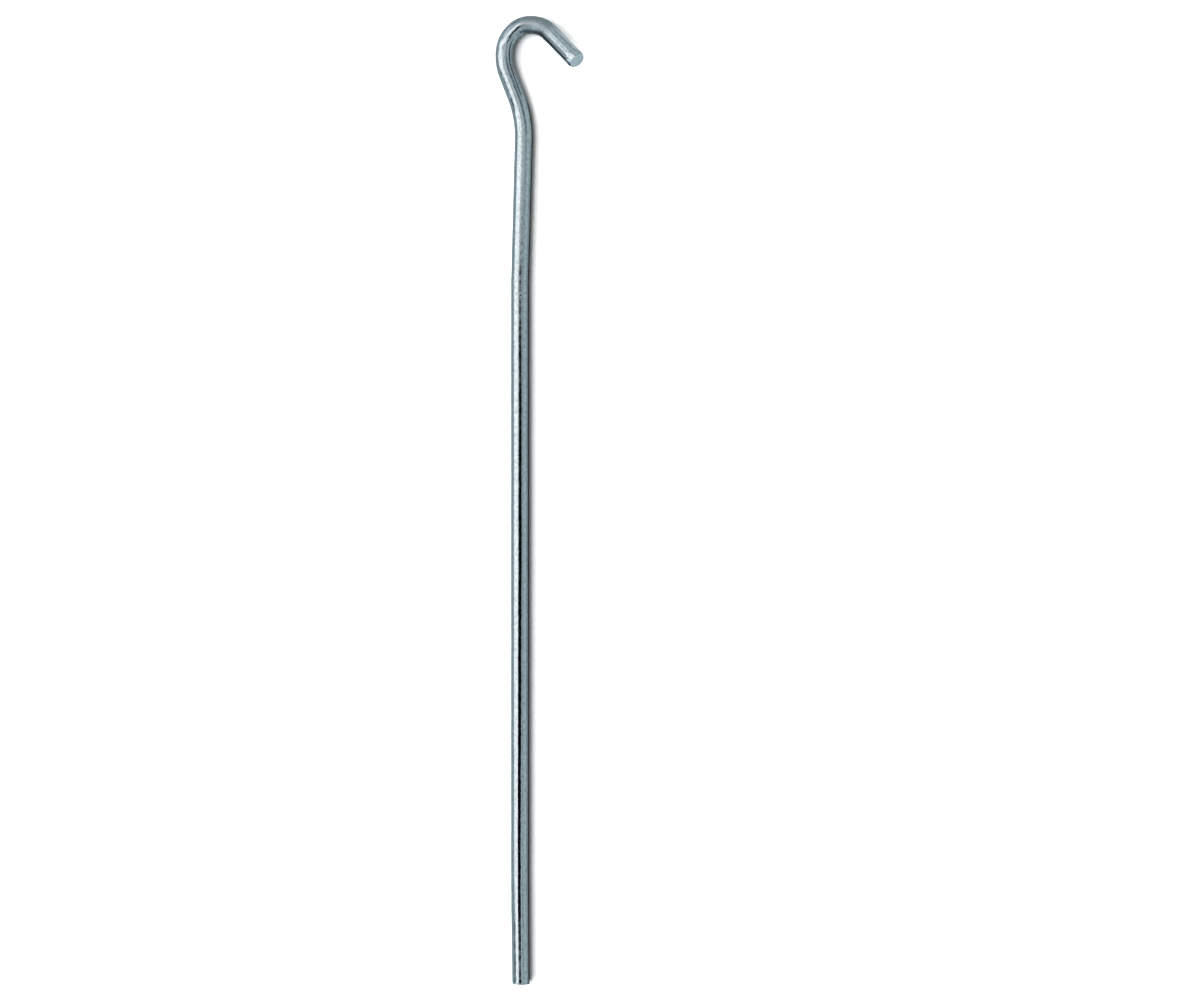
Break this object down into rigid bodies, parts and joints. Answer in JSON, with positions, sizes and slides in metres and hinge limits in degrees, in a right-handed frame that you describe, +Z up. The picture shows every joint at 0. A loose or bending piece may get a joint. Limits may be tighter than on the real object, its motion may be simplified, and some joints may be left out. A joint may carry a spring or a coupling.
{
  "type": "tent stake",
  "caption": "Hooked wire tent stake: a straight round steel shaft with a square-cut foot, and a hook bent at the top to hold a guy line or peg loop.",
  "frame": {"origin": "centre of the stake's bounding box in plan, on the surface that it lies on", "axes": "+Y along the shaft from the foot towards the hook, +Z up from the surface that the stake lies on, +X to the side that the hook's nose points to"},
  "size_m": [0.021, 0.2302, 0.0126],
  "materials": {
    "zinc_steel": "bright zinc plating, drawn wire"
  },
  "bodies": {
    "root": {"stake": "zinc_steel"}
  },
  "joints": []
}
